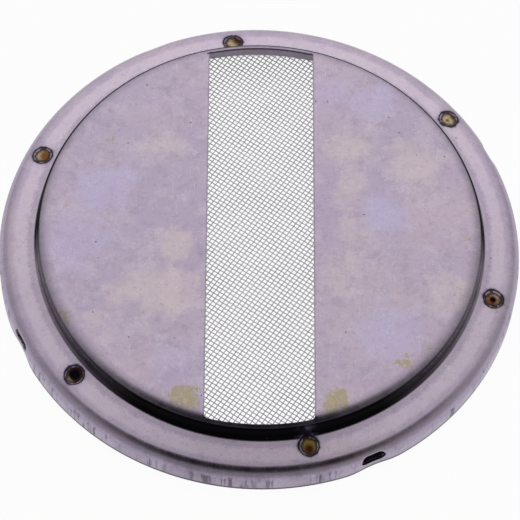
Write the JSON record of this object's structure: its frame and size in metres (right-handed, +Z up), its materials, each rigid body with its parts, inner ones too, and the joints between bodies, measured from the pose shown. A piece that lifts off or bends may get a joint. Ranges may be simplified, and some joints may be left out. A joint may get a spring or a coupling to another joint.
{
  "type": "oil strainer",
  "caption": "Round stamped steel oil strainer with a raised pan, a long window over wire screen, a spot-welded sloping flange and a short snap-fit rim with lanced slots.",
  "frame": {"origin": "centre of the rim, in the plane of its bottom edge", "axes": "+Z up through the pan, +Y along the window, +X across the window"},
  "size_m": [0.1, 0.1, 0.0101],
  "materials": {
    "cover_steel": "semi-gloss cold-rolled sheet",
    "wire_cloth": "drawn wire",
    "ring_steel": "semi-gloss cold-rolled sheet",
    "weld_metal": "heat-tinted"
  },
  "bodies": {
    "root": {"strainer_cover": "cover_steel", "wire_screen": "wire_cloth", "clamping_ring": "ring_steel", "weld_nuggets": "weld_metal"}
  },
  "joints": []
}
